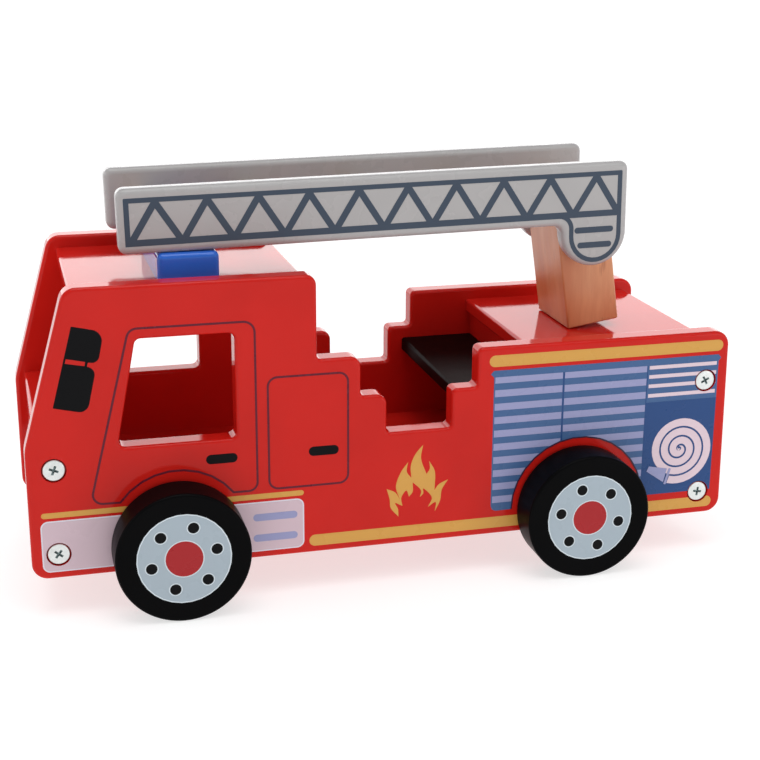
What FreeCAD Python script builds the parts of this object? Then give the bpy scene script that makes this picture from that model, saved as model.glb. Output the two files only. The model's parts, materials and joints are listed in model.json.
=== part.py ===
import FreeCAD, Part
import math
import os
import re

import Sketcher

# Toy fire engine in painted wood: two side panels joined by cross boards, four wheels on two axles, and a
# ladder that tips up on a swivelling block. Millimetres. The front looks along -X, +Y is its right-hand
# side and +Z is up. The origin is on the floor, under the middle of the side panels.

doc = FreeCAD.newDocument("toy_fire_engine")
sheet = doc.addObject("Spreadsheet::Sheet", "Dims")

# Driving dimensions. Heights ending in _top are above the floor, and places ending in _x are from the
# origin unless the note says otherwise.
DIMENSIONS = [
    # side panels; places along a panel are from its front end and heights on it from its bottom edge
    ("body_length", 278.0, "length of a side panel"),
    ("body_width", 103.0, "over the two side panels"),
    ("panel_thick", 9.0, "side panel board"),
    ("clearance_under", 15.3, "floor to the bottom of the side panels"),
    ("cab_high", 109.7, "top of the cab"),
    ("box_high", 77.4, "top of the rear box and of the step behind the cab"),
    ("step_high", 61.8, "lower steps on both sides of the notch"),
    ("sill_high", 46.2, "bottom of the notch"),
    ("bend_high", 50.1, "where the front edge starts to lean back"),
    ("screen_lean", 16.8, "how far the windscreen edge leans back"),
    ("rear_lean", 1.0, "how far the rear edge leans in"),
    ("cab_long", 108.0, "front to the rear edge of the cab"),
    ("cab_step_long", 16.8, "step behind the cab"),
    ("low_step_long", 10.2, "lower step before and after the notch"),
    ("notch_long", 26.0, "notch, measured along its bottom"),
    ("window_front", 33.3, "lower front corner of the window"),
    ("window_long", 43.9, "bottom of the window"),
    ("window_lean", 8.0, "how far the window's front edge leans back"),
    ("window_sill", 49.1, "bottom of the window"),
    ("window_high", 40.6, "height of the window"),
    ("corner_big", 6.0, "radius of the outer corners"),
    ("corner_step", 4.0, "radius of the corners of the steps behind the cab"),
    ("corner_notch", 2.2, "radius of the corners of the steps in front of the rear box"),
    ("corner_inner", 1.6, "inside radius between the steps"),
    ("corner_window", 2.4, "radius of the window corners"),
    ("bend_round", 14.0, "radius of the bend in the front edge"),
    ("edge_round", 1.4, "rounding of the panel's long edges"),
    # cross boards
    ("board_thick", 6.0, "roof, floor, seat, bulkhead and deck boards"),
    ("board_round", 1.2, "rounding of the boards' free edges"),
    ("roof_drop", 5.0, "panel top down to the roof board"),
    ("roof_front", 19.6, "panel front back to the roof board"),
    ("roof_long", 88.1, "roof board"),
    ("end_thick", 12.5, "front board and tail board"),
    ("front_inset", 3.7, "panel front back to the front board"),
    ("front_top", 68.2, "top of the front board"),
    ("tail_inset", 5.5, "tail board in from the panel's rear edge"),
    ("end_gap_under", 1.0, "panel bottom up to the front and tail boards"),
    ("floor_top", 37.1, "top of the floor board"),
    ("seat_top", 72.0, "top of the bench seat"),
    ("seat_long", 31.6, "bench seat, front to back"),
    ("bulkhead_inset", 2.0, "deck's front edge back to the bulkhead"),
    ("deck_drop", 4.9, "panel top down to the deck board"),
    ("deck_long", 75.6, "deck board"),
    # roof light
    ("light_front", 52.8, "panel front back to the light"),
    ("light_long", 23.1, "light, front to back"),
    ("light_wide", 59.6, "light, side to side"),
    ("light_high", 10.9, "light"),
    ("light_round", 2.2, "rounding of the light"),
    # wheels and axles
    ("wheel_radius", 25.2, "wheel"),
    ("wheel_thick", 15.0, "wheel"),
    ("wheel_gap", 1.0, "wheel to side panel"),
    ("wheel_round", 1.2, "rounding of the wheel's rims"),
    ("wheel_wall", 4.5, "wood left outside the blind axle bore"),
    ("front_axle_x", 54.1, "front axle, from the panel's front end"),
    ("wheelbase", 159.3, "axle to axle"),
    ("axle_radius", 2.5, "steel axle"),
    ("running_gap", 0.08, "radial clearance of a turning shaft"),
    # side screws
    ("head_radius", 4.1, "screw head"),
    ("head_thick", 2.0, "screw head"),
    ("recess_radius", 4.6, "recess round a screw head"),
    ("recess_deep", 2.2, "recess round a screw head"),
    ("shank_radius", 1.9, "screw shank"),
    ("shank_long", 26.0, "screw shank"),
    ("cross_long", 4.4, "cross slot in the head"),
    ("cross_wide", 0.9, "cross slot in the head"),
    ("cross_deep", 1.1, "cross slot in the head"),
    ("screw_low", 9.7, "lower screws, above the panel's bottom edge"),
    ("front_screw_rise", 32.8, "upper front screw above the lower one"),
    ("rear_screw_inset", 10.5, "rear screws in from the panel's rear end"),
    ("rear_screw_rise", 47.7, "upper rear screw above the lower one"),
    # turntable block, which leans forward on its slack screw
    ("swivel_back", 36.5, "deck's front edge back to the swivel axis"),
    ("block_deep", 22.4, "block, front to back"),
    ("block_wide", 34.0, "block, side to side"),
    ("block_high", 55.0, "block"),
    ("block_round", 0.8, "rounding of the block's edges"),
    ("block_lean", 8.5, "degrees that the block leans forward"),
    ("rest_gap", 0.15, "between the block's front edge and the deck"),
    ("pivot_high", 41.3, "pivot above the block's bottom"),
    ("swivel_hole", 3.3, "radius of the hole in the deck"),
    ("swivel_radius", 2.0, "swivel screw shank"),
    ("swivel_grip", 18.0, "swivel screw's length inside the block"),
    ("washer_gap", 0.15, "deck's underside to the washer's raised edge"),
    ("washer_radius", 6.0, "swivel washer"),
    ("washer_thick", 1.0, "swivel washer"),
    # ladder; heights on a rail are from the pivot
    ("rail_thick", 8.0, "ladder rail"),
    ("rail_high", 24.5, "ladder rail"),
    ("rail_rise", 3.3, "pivot up to the rail's bottom edge"),
    ("rail_reach", 187.5, "pivot to the rail's front end"),
    ("ladder_wide", 57.1, "over the two rails"),
    ("lobe_radius", 13.7, "round end below the rail, about the pivot"),
    ("lobe_fillet", 3.5, "inside radius between rail and lobe"),
    ("rail_corner", 3.2, "radius of the rail's corners"),
    ("rail_round", 2.4, "rounding of the rail's edges"),
    ("ladder_dip", 0.95, "degrees that the lowered ladder points down"),
    ("dowel_radius", 4.0, "pivot dowel"),
    ("rung_radius", 3.5, "rung dowel"),
    ("socket_deep", 5.0, "blind sockets for dowels in the rails"),
    ("first_rung", 14.0, "rail's front end to the first rung"),
    ("rung_pitch", 42.0, "rung to rung"),
]
RUNGS = 4

for row, (alias, value, note) in enumerate(DIMENSIONS, start=1):
    sheet.set(f"A{row}", str(value))
    sheet.setAlias(f"A{row}", alias)
    sheet.set(f"B{row}", note)
doc.recompute()
ALIASES = {alias for alias, _, _ in DIMENSIONS}

# Lengths that several pieces share, written from the driving dimensions.
SHARED = {
    "front_x": "(-body_length / 2)",
    "inside_wide": "(body_width - 2 * panel_thick)",
    "roof_top": "(clearance_under + cab_high - roof_drop)",
    "deck_top": "(clearance_under + box_high - deck_drop)",
    "rear_x": "(body_length / 2 - tail_inset)",
    "deck_x": "(body_length / 2 - tail_inset - deck_long)",
    "swivel_x": "(deck_x + swivel_back)",
    "front_board_x": "(front_inset - body_length / 2)",
    "tail_board_x": "(body_length / 2 - tail_inset - end_thick)",
    "end_bottom": "(clearance_under + end_gap_under)",
    "front_screw_x": "(front_inset + end_thick / 2)",
    "rear_screw_x": "(body_length - rear_screw_inset)",
    "lift": "(rest_gap + block_deep / 2 * sin(block_lean))",
    "swivel_slack": "((lift + board_thick + washer_gap + washer_radius * sin(block_lean)) / cos(block_lean))",
    "block_x": "(swivel_x - (board_thick / 2 + lift) * tan(block_lean))",
    "pivot_x": "(block_x - pivot_high * sin(block_lean))",
    "pivot_z": "(deck_top + lift + pivot_high * cos(block_lean))",
    "rail_inside": "(ladder_wide / 2 - rail_thick)",
}


def formula(text):
    """Turn a formula in plain names into an expression on the sheet's cells."""
    def swap(match):
        word = match.group(0)
        if word in SHARED:
            return formula(SHARED[word])
        return f"Dims.{word}" if word in ALIASES else word
    return re.sub(r"[a-z_]+", swap, text)


def bind(item, sizes):
    """Bind an object's properties, given as a property path and a formula each."""
    for path, text in sizes.items():
        item.setExpression(path, formula(str(text)))


def place(item, at):
    """Bind where an object stands, keeping its rotation."""
    x, y, z = at
    bind(item, {"Placement.Base.x": x, "Placement.Base.y": y, "Placement.Base.z": z})


def new_body(label, at=None, lean=None):
    """Start the body of one piece, leaning forward about Y by the angle in a cell if one is named."""
    body = doc.addObject("PartDesign::Body", label)
    body.Label = label
    if lean:
        body.Placement = FreeCAD.Placement(FreeCAD.Vector(), FreeCAD.Rotation(FreeCAD.Vector(0, -1, 0), 1))
        bind(body, {"Placement.Rotation.Angle": lean})
    if at:
        place(body, at)
    return body


def box(body, size, at, cut=False):
    """Add a box to a body, or cut it out: its sizes along X, Y and Z and its lowest corner."""
    kind = "PartDesign::SubtractiveBox" if cut else "PartDesign::AdditiveBox"
    item = body.newObject(kind, f"{body.Label}_box")
    bind(item, {"Length": size[0], "Width": size[1], "Height": size[2]})
    place(item, at)
    return item


ALONG_Y = FreeCAD.Rotation(FreeCAD.Vector(1, 0, 0), -90)
ALONG_Z = FreeCAD.Rotation()


def rod(body, radius, length, at, turn=ALONG_Y, cut=False):
    """Add a cylinder to a body, or cut it out, starting at a point and running along +Y or +Z."""
    kind = "PartDesign::SubtractiveCylinder" if cut else "PartDesign::AdditiveCylinder"
    item = body.newObject(kind, f"{body.Label}_rod")
    item.Placement = FreeCAD.Placement(FreeCAD.Vector(), turn)
    bind(item, {"Radius": radius, "Height": length})
    place(item, at)
    return item


def round_edges(body, radius, wanted):
    """Fillet the edges of a body that the test picks."""
    doc.recompute()
    base = body.Tip
    names = [f"Edge{i}" for i, edge in enumerate(base.Shape.Edges, start=1) if wanted(edge)]
    item = body.newObject("PartDesign::Fillet", f"{body.Label}_round")
    item.Base = (base, names)
    bind(item, {"Radius": radius})
    doc.recompute()
    return item


def value(text):
    """The number that a formula gives now."""
    probe = doc.addObject("App::FeaturePython", "Probe")
    probe.addProperty("App::PropertyFloat", "Result")
    bind(probe, {"Result": text})
    doc.recompute()
    result = probe.Result
    doc.removeObject(probe.Name)
    return result


def is_along(edge, axis):
    """True for a straight edge along one axis."""
    ends = [vertex.Point for vertex in edge.Vertexes]
    if len(ends) != 2 or edge.Curve.TypeId != "Part::GeomLine":
        return False
    run = (ends[1] - ends[0]).normalize()
    return abs(abs(run[axis]) - 1) < 1e-6


def lies_at(edge, axis, height):
    """True for an edge that lies wholly at one place along an axis."""
    box_of = edge.BoundBox
    low = (box_of.XMin, box_of.YMin, box_of.ZMin)[axis]
    high = (box_of.XMax, box_of.YMax, box_of.ZMax)[axis]
    return abs(low - height) < 1e-4 and abs(high - height) < 1e-4


X, Y, Z = 0, 1, 2


# Side panels. One sketch of straight lines, each corner bound to the cells, is padded through the board's
# thickness; the window, the axle holes and the screw recesses are cut from it and its edges rounded.

OUTLINE = [
    ("0", "0"),
    ("body_length", "0"),
    ("body_length - rear_lean", "box_high"),
    ("cab_long + cab_step_long + 2 * low_step_long + notch_long", "box_high"),
    ("cab_long + cab_step_long + 2 * low_step_long + notch_long", "step_high"),
    ("cab_long + cab_step_long + low_step_long + notch_long", "step_high"),
    ("cab_long + cab_step_long + low_step_long + notch_long", "sill_high"),
    ("cab_long + cab_step_long + low_step_long", "sill_high"),
    ("cab_long + cab_step_long + low_step_long", "step_high"),
    ("cab_long + cab_step_long", "step_high"),
    ("cab_long + cab_step_long", "box_high"),
    ("cab_long", "box_high"),
    ("cab_long", "cab_high"),
    ("screen_lean", "cab_high"),
    ("0", "bend_high"),
]
WINDOW = [
    ("window_front", "window_sill"),
    ("window_front + window_long", "window_sill"),
    ("window_front + window_long", "window_sill + window_high"),
    ("window_front + window_lean", "window_sill + window_high"),
]


def empty_sketch(body, name):
    """A sketch on the body's own XZ plane."""
    sketch = body.newObject("Sketcher::SketchObject", name)
    plane = next(item for item in body.Origin.OriginFeatures if item.Role == "XZ_Plane")
    sketch.AttachmentSupport = [(plane, "")]
    sketch.MapMode = "FlatFace"
    return sketch


def outline_sketch(body, name, corners):
    """A closed sketch on the body's XZ plane, each corner tied to the origin by two bound distances."""
    sketch = empty_sketch(body, name)
    points = [FreeCAD.Vector(value(x), value(z), 0) for x, z in corners]
    count = len(points)
    for i in range(count):
        sketch.addGeometry(Part.LineSegment(points[i], points[(i + 1) % count]), False)
    for i in range(count):
        sketch.addConstraint(Sketcher.Constraint("Coincident", i, 2, (i + 1) % count, 1))
    for i, (x, z) in enumerate(corners):
        for kind, text, size in (("DistanceX", x, points[i].x), ("DistanceY", z, points[i].y)):
            if text == "0":
                on_axis = -2 if kind == "DistanceX" else -1
                sketch.addConstraint(Sketcher.Constraint("PointOnObject", i, 1, on_axis))
                continue
            number = sketch.addConstraint(Sketcher.Constraint(kind, -1, 1, i, 1, size))
            sketch.setExpression(f"Constraints[{number}]", formula(text))
    return sketch


def corner_edges(spots):
    """A test for edges through the board at the given corners of an outline."""
    places = [(value(x), value(z)) for x, z in spots]

    def wanted(edge):
        if not is_along(edge, Y):
            return False
        here = edge.Vertexes[0].Point
        return any(abs(here.x - x) < 1e-3 and abs(here.z - z) < 1e-3 for x, z in places)
    return wanted


def side_panel(label):
    """The left panel: its outer face looks along -Y."""
    body = new_body(label, ("front_x", "panel_thick - body_width / 2", "clearance_under"))
    pad = body.newObject("PartDesign::Pad", "panel_pad")
    pad.Profile = outline_sketch(body, "panel_outline", OUTLINE)
    bind(pad, {"Length": "panel_thick"})
    doc.recompute()
    window = body.newObject("PartDesign::Pocket", "panel_window")
    window.Profile = outline_sketch(body, "window_outline", WINDOW)
    window.Type = "ThroughAll"
    window.Midplane = True
    round_edges(body, "corner_window", corner_edges(WINDOW))
    round_edges(body, "corner_inner", corner_edges([OUTLINE[4], OUTLINE[6], OUTLINE[7], OUTLINE[9], OUTLINE[11]]))
    round_edges(body, "corner_notch", corner_edges([OUTLINE[3], OUTLINE[5]]))
    round_edges(body, "corner_step", corner_edges([OUTLINE[8], OUTLINE[10], OUTLINE[12]]))
    round_edges(body, "corner_big", corner_edges(OUTLINE[:3] + [OUTLINE[13]]))
    round_edges(body, "bend_round", corner_edges(OUTLINE[14:]))
    inner, outer = 0, -value("panel_thick")
    round_edges(body, "edge_round", lambda edge: lies_at(edge, Y, inner) or lies_at(edge, Y, outer))
    for at_x in ("front_axle_x", "front_axle_x + wheelbase"):
        rod(body, "axle_radius + running_gap", "panel_thick * 2",
            (at_x, "-panel_thick * 1.5", "wheel_radius - clearance_under"), cut=True)
    for at_x, at_z in SIDE_SCREWS:
        rod(body, "recess_radius", "recess_deep * 2", (at_x, "-panel_thick - recess_deep", at_z), cut=True)
        rod(body, "shank_radius", "panel_thick * 2", (at_x, "-panel_thick * 1.5", at_z), cut=True)
    return body


SIDE_SCREWS = [
    ("front_screw_x", "screw_low"),
    ("front_screw_x", "screw_low + front_screw_rise"),
    ("rear_screw_x", "screw_low"),
    ("rear_screw_x", "screw_low + rear_screw_rise"),
]


def mirrored(source, label):
    """The same piece on the other side of the centre plane."""
    item = doc.addObject("Part::Mirroring", label)
    item.Label = label
    item.Source = source
    item.Normal = FreeCAD.Vector(0, 1, 0)
    return item


# Cross boards between the panels.

def board(label, size, at, rounded):
    """A board between the side panels, with some of its long edges rounded."""
    body = new_body(label)
    box(body, (size[0], "inside_wide", size[1]), (at[0], "-inside_wide / 2", at[1]))
    round_edges(body, "board_round", rounded)
    return body


def cab_roof():
    low = "roof_top - board_thick"
    ends = [("front_x + roof_front", low), ("front_x + roof_front", "roof_top"),
            ("front_x + roof_front + roof_long", low), ("front_x + roof_front + roof_long", "roof_top")]
    return board("cab_roof", ("roof_long", "board_thick"), ends[0], corner_edges(ends))


def rear_deck():
    low = "deck_top - board_thick"
    ends = [("deck_x", low), ("deck_x", "deck_top"), ("rear_x", "deck_top")]
    body = board("rear_deck", ("deck_long", "board_thick"), ends[0], corner_edges(ends))
    rod(body, "swivel_hole", "board_thick * 2", ("swivel_x", "0", "deck_top - board_thick * 1.5"),
        turn=ALONG_Z, cut=True)
    return body


def bench_seat():
    low = "seat_top - board_thick"
    front = "deck_x + bulkhead_inset - seat_long"
    return board("bench_seat", ("seat_long", "board_thick"), (front, low),
                 corner_edges([(front, low), (front, "seat_top")]))


def floor_board():
    start = "front_board_x + end_thick"
    body = new_body("floor_board")
    box(body, ("tail_board_x - front_board_x - end_thick", "inside_wide", "board_thick"),
        (start, "-inside_wide / 2", "floor_top - board_thick"))
    return body


def bulkhead():
    body = new_body("bulkhead")
    box(body, ("board_thick", "inside_wide", "deck_top - board_thick - floor_top"),
        ("deck_x + bulkhead_inset", "-inside_wide / 2", "floor_top"))
    return body


def end_board(label, at_x, top, rounded_x, screw_x, rise):
    """The front board or the tail board, with pilot holes for the side screws in both ends."""
    body = new_body(label)
    box(body, ("end_thick", "inside_wide", f"{top} - end_bottom"), (at_x, "-inside_wide / 2", "end_bottom"))
    corners = [(x, top) for x in rounded_x] + [(rounded_x[0], "end_bottom")]
    round_edges(body, "board_round", corner_edges(corners))
    reach = "shank_long + recess_deep - panel_thick"
    for height in ("screw_low", f"screw_low + {rise}"):
        for start in ("-inside_wide / 2 - 1", f"inside_wide / 2 - ({reach})"):
            rod(body, "shank_radius", f"{reach} + 1",
                (f"front_x + {screw_x}", start, f"clearance_under + {height}"), cut=True)
    return body


def roof_light():
    body = new_body("roof_light")
    box(body, ("light_long", "light_wide", "light_high"), ("front_x + light_front", "-light_wide / 2", "roof_top"))
    bottom = value("roof_top")
    round_edges(body, "light_round", lambda edge: not lies_at(edge, Z, bottom))
    return body


# Side screws: eight separate screws in one piece list entry, heads outwards.

def side_screw(number, side, at_x, at_z):
    """One screw lying along Y with its head at the side given, -1 left or 1 right."""
    turn = ALONG_Y if side < 0 else FreeCAD.Rotation(FreeCAD.Vector(1, 0, 0), 90)
    name = f"screw_{number}"
    body = doc.addObject("PartDesign::Body", name)
    body.Placement = FreeCAD.Placement(FreeCAD.Vector(), turn)
    seat = "body_width / 2 - recess_deep + head_thick"
    place(body, (f"front_x + {at_x}", f"{side} * ({seat})", f"clearance_under + {at_z}"))
    rod(body, "head_radius", "head_thick", ("0", "0", "0"), turn=ALONG_Z)
    rod(body, "shank_radius", "shank_long", ("0", "0", "head_thick"), turn=ALONG_Z)
    for size in (("cross_long", "cross_wide", "cross_deep"), ("cross_wide", "cross_long", "cross_deep")):
        box(body, size, (f"-{size[0]} / 2", f"-{size[1]} / 2", "0"), cut=True)
    return body


def side_screws():
    screws = []
    for side in (-1, 1):
        for at_x, at_z in SIDE_SCREWS:
            screws.append(side_screw(len(screws) + 1, side, at_x, at_z))
    group = doc.addObject("Part::Compound", "side_screws")
    group.Label = "side_screws"
    group.Links = screws
    return group


# Wheels and axles.

def wheel(label, axle_x, side):
    """A wheel with a blind bore on its inner face, at the left (-1) or the right (1) side."""
    turn = FreeCAD.Rotation(FreeCAD.Vector(1, 0, 0), 90 if side < 0 else -90)
    body = doc.addObject("PartDesign::Body", label)
    body.Label = label
    body.Placement = FreeCAD.Placement(FreeCAD.Vector(), turn)
    place(body, (f"front_x + {axle_x}", f"{side} * (body_width / 2 + wheel_gap)", "wheel_radius"))
    rod(body, "wheel_radius", "wheel_thick", ("0", "0", "0"), turn=ALONG_Z)
    round_edges(body, "wheel_round", lambda edge: edge.Curve.TypeId == "Part::GeomCircle")
    rod(body, "axle_radius", "wheel_thick - wheel_wall + 1", ("0", "0", "-1"), turn=ALONG_Z, cut=True)
    return body


def axle(label, axle_x):
    body = new_body(label)
    half = "(body_width / 2 + wheel_gap + wheel_thick - wheel_wall)"
    rod(body, "axle_radius", f"{half} * 2", (f"front_x + {axle_x}", f"-{half}", "wheel_radius"))
    return body


# Turntable. Its pieces share a frame that leans with the block, with its origin at the middle of the
# block's bottom. The front edge of that bottom stands on the deck and the rear edge is lifted.

BLOCK_AT = ("block_x", "0", "deck_top + lift")


def turntable_block():
    body = new_body("turntable_block", BLOCK_AT, "block_lean")
    box(body, ("block_deep", "block_wide", "block_high"), ("-block_deep / 2", "-block_wide / 2", "0"))
    round_edges(body, "block_round", lambda edge: True)
    rod(body, "dowel_radius + running_gap", "block_wide * 2", ("0", "-block_wide", "pivot_high"), cut=True)
    rod(body, "swivel_radius", "swivel_grip + 1", ("0", "0", "-1"), turn=ALONG_Z, cut=True)
    return body


def swivel_screw():
    body = new_body("swivel_screw", BLOCK_AT, "block_lean")
    under = "(-swivel_slack - washer_thick)"
    rod(body, "swivel_radius", "swivel_grip + swivel_slack + washer_thick", ("0", "0", under), turn=ALONG_Z)
    rod(body, "head_radius", "head_thick", ("0", "0", f"{under} - head_thick"), turn=ALONG_Z)
    return body


def swivel_washer():
    body = new_body("swivel_washer", BLOCK_AT, "block_lean")
    under = "(-swivel_slack - washer_thick)"
    rod(body, "washer_radius", "washer_thick", ("0", "0", under), turn=ALONG_Z)
    rod(body, "swivel_radius", "washer_thick * 3", ("0", "0", f"{under} - washer_thick"), turn=ALONG_Z, cut=True)
    return body


# Ladder. Its pieces share a frame with its origin at the pivot and its X axis along the rails.

LADDER_AT = ("pivot_x", "0", "pivot_z")


def rail_sketch(body):
    """The rail's outline about the pivot: a beam whose rear end runs tangentially into the round lobe."""
    sketch = empty_sketch(body, "rail_outline")
    reach, radius, inside = value("rail_reach"), value("lobe_radius"), value("lobe_fillet")
    low, top = value("rail_rise"), value("rail_rise + rail_high")
    fillet_z = low - inside
    fillet_x = -math.sqrt((radius + inside) ** 2 - fillet_z ** 2)
    meet = math.atan2(-fillet_z, -fillet_x)
    up = FreeCAD.Vector(0, 0, 1)
    front_low, front_top = FreeCAD.Vector(-reach, low, 0), FreeCAD.Vector(-reach, top, 0)
    rear_top, rear_low = FreeCAD.Vector(radius, top, 0), FreeCAD.Vector(radius, 0, 0)
    lobe = Part.Circle(FreeCAD.Vector(), up, radius)
    hollow = Part.Circle(FreeCAD.Vector(fillet_x, fillet_z, 0), up, inside)
    front, upper, rear, round_end, fillet, lower = (sketch.addGeometry(shape, False) for shape in (
        Part.LineSegment(front_low, front_top),
        Part.LineSegment(front_top, rear_top),
        Part.LineSegment(rear_top, rear_low),
        Part.ArcOfCircle(lobe, math.pi + meet, 2 * math.pi),
        Part.ArcOfCircle(hollow, meet, math.pi / 2),
        Part.LineSegment(FreeCAD.Vector(fillet_x, low, 0), front_low),
    ))
    start, end, centre = 1, 2, 3
    for fixed in (
        ("Coincident", front, end, upper, start),
        ("Coincident", upper, end, rear, start),
        ("Coincident", lower, end, front, start),
        ("Tangent", rear, end, round_end, end),
        ("Tangent", round_end, start, fillet, start),
        ("Tangent", fillet, end, lower, start),
        ("Vertical", front),
        ("Horizontal", upper),
        ("Vertical", rear),
        ("Horizontal", lower),
        ("Coincident", round_end, centre, -1, 1),
    ):
        sketch.addConstraint(Sketcher.Constraint(*fixed))
    for text, size in (
        ("lobe_radius", ("Radius", round_end, radius)),
        ("lobe_fillet", ("Radius", fillet, inside)),
        ("rail_reach", ("DistanceX", front, start, -1, 1, reach)),
        ("rail_rise", ("DistanceY", -1, 1, front, start, low)),
        ("rail_high", ("DistanceY", front, start, front, end, top - low)),
    ):
        number = sketch.addConstraint(Sketcher.Constraint(*size))
        sketch.setExpression(f"Constraints[{number}]", formula(text))
    return sketch


def ladder_rail(label):
    """The left rail: a beam with a round lobe under its rear end, which carries the pivot dowel."""
    x, y, z = LADDER_AT
    body = new_body(label, (x, "-rail_inside", z), "ladder_dip")
    pad = body.newObject("PartDesign::Pad", "rail_pad")
    pad.Profile = rail_sketch(body)
    bind(pad, {"Length": "rail_thick"})
    front, rear = "-rail_reach", "lobe_radius"
    top = "rail_rise + rail_high"
    round_edges(body, "rail_corner", corner_edges([(front, "rail_rise"), (front, top), (rear, top)]))
    outer = -value("rail_thick")
    round_edges(body, "rail_round", lambda edge: lies_at(edge, Y, 0) or lies_at(edge, Y, outer))
    rod(body, "dowel_radius", "socket_deep + 1", ("0", "-socket_deep", "0"), cut=True)
    for number in range(RUNGS):
        rod(body, "rung_radius", "socket_deep + 1", (rung_x(number), "-socket_deep", RUNG_Z), cut=True)
    return body


RUNG_Z = "rail_rise + rail_high / 2"


def rung_x(number):
    return f"first_rung + {number} * rung_pitch - rail_reach"


def ladder_pivot_dowel():
    body = new_body("ladder_pivot_dowel", LADDER_AT, "ladder_dip")
    half = "(rail_inside + socket_deep)"
    rod(body, "dowel_radius", f"{half} * 2", ("0", f"-{half}", "0"))
    return body


def ladder_rungs():
    """The rung dowels: separate solids in one group."""
    half = "(rail_inside + socket_deep)"
    rungs = []
    for number in range(RUNGS):
        body = new_body(f"rung_{number + 1}", LADDER_AT, "ladder_dip")
        rod(body, "rung_radius", f"{half} * 2", (rung_x(number), f"-{half}", RUNG_Z))
        rungs.append(body)
    group = doc.addObject("Part::Compound", "ladder_rungs")
    group.Label = "ladder_rungs"
    group.Links = rungs
    return group


left_panel = side_panel("left_side_panel")
left_rail = ladder_rail("ladder_rail_left")
REAR_AXLE_X = "(front_axle_x + wheelbase)"
PIECES = [
    left_panel,
    mirrored(left_panel, "right_side_panel"),
    cab_roof(),
    roof_light(),
    end_board("front_board", "front_board_x", "front_top",
              ("front_board_x", "front_board_x + end_thick"), "front_screw_x", "front_screw_rise"),
    end_board("tail_board", "tail_board_x", "(deck_top - board_thick)",
              ("rear_x",), "rear_screw_x", "rear_screw_rise"),
    floor_board(),
    bench_seat(),
    bulkhead(),
    rear_deck(),
    side_screws(),
    axle("front_axle", "front_axle_x"),
    axle("rear_axle", REAR_AXLE_X),
    wheel("wheel_front_left", "front_axle_x", -1),
    wheel("wheel_front_right", "front_axle_x", 1),
    wheel("wheel_rear_left", REAR_AXLE_X, -1),
    wheel("wheel_rear_right", REAR_AXLE_X, 1),
    turntable_block(),
    swivel_screw(),
    swivel_washer(),
    left_rail,
    mirrored(left_rail, "ladder_rail_right"),
    ladder_pivot_dowel(),
    ladder_rungs(),
]
doc.recompute()

for item in doc.Objects:
    if "Invalid" in item.State or "Error" in item.State:
        raise RuntimeError(f"{item.Name} failed: {item.State}")
for piece in PIECES:
    if piece.Shape.isNull() or not piece.Shape.isValid():
        raise RuntimeError(f"{piece.Label} has no valid shape")

os.makedirs("parts", exist_ok=True)
for piece in PIECES:
    piece.Shape.exportStep(f"parts/{piece.Label}.step")
    size = piece.Shape.BoundBox
    print(f"{piece.Label:22s} solids {len(piece.Shape.Solids)} volume {piece.Shape.Volume:9.0f} "
          f"x {size.XMin:7.1f} {size.XMax:7.1f} y {size.YMin:6.1f} {size.YMax:6.1f} "
          f"z {size.ZMin:6.1f} {size.ZMax:6.1f}")
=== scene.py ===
import json
import math

import bpy
from mathutils import Matrix, Vector


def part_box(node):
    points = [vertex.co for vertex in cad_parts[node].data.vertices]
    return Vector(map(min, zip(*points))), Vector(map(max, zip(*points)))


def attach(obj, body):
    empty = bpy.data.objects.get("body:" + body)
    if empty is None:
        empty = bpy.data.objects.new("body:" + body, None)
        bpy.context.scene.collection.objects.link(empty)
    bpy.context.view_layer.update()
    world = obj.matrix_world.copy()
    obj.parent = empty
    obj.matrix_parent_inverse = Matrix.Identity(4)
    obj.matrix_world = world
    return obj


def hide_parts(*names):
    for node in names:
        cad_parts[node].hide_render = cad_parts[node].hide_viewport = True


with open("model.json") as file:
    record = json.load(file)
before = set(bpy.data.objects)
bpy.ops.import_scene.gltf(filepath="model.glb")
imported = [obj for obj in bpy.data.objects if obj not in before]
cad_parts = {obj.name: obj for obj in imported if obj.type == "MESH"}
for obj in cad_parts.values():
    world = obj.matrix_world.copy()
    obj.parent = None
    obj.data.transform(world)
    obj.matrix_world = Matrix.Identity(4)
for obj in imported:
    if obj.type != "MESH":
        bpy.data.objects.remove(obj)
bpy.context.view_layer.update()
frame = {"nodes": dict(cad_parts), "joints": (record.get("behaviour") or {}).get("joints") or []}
cad = frame["nodes"]
MM = 0.001


# ---- The table and the studio ----------------------------------------------------------------------------
# The engine stands on a pale matt table in a white sweep. A wide soft box stands far behind it, so that the
# lacquered tops mirror white. Smaller ones above it, in front of it and to the right light the other faces.

CAMERA_PLACE = Vector((-146.85, -571.32, 249.29)) * MM
CAMERA_AZIMUTH = 15.07      # degrees that the camera looks to the right of +Y
CAMERA_FALL = 17.16         # degrees that it looks down
CAMERA_ROLL = 0.28
CAMERA_LENS = 70.73         # millimetres on a 36 mm sensor

scene = bpy.context.scene
scene.view_settings.view_transform = "Standard"
camera = bpy.data.objects.new("camera", bpy.data.cameras.new("camera"))
scene.collection.objects.link(camera)
camera.data.sensor_width = 36.0
camera.data.lens = CAMERA_LENS
camera.data.clip_start = 0.01
camera.matrix_world = (
    Matrix.Translation(CAMERA_PLACE)
    @ Matrix.Rotation(math.radians(-CAMERA_AZIMUTH), 4, "Z")
    @ Matrix.Rotation(math.radians(90 - CAMERA_FALL), 4, "X")
    @ Matrix.Rotation(math.radians(CAMERA_ROLL), 4, "Z")
)
scene.camera = camera


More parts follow.
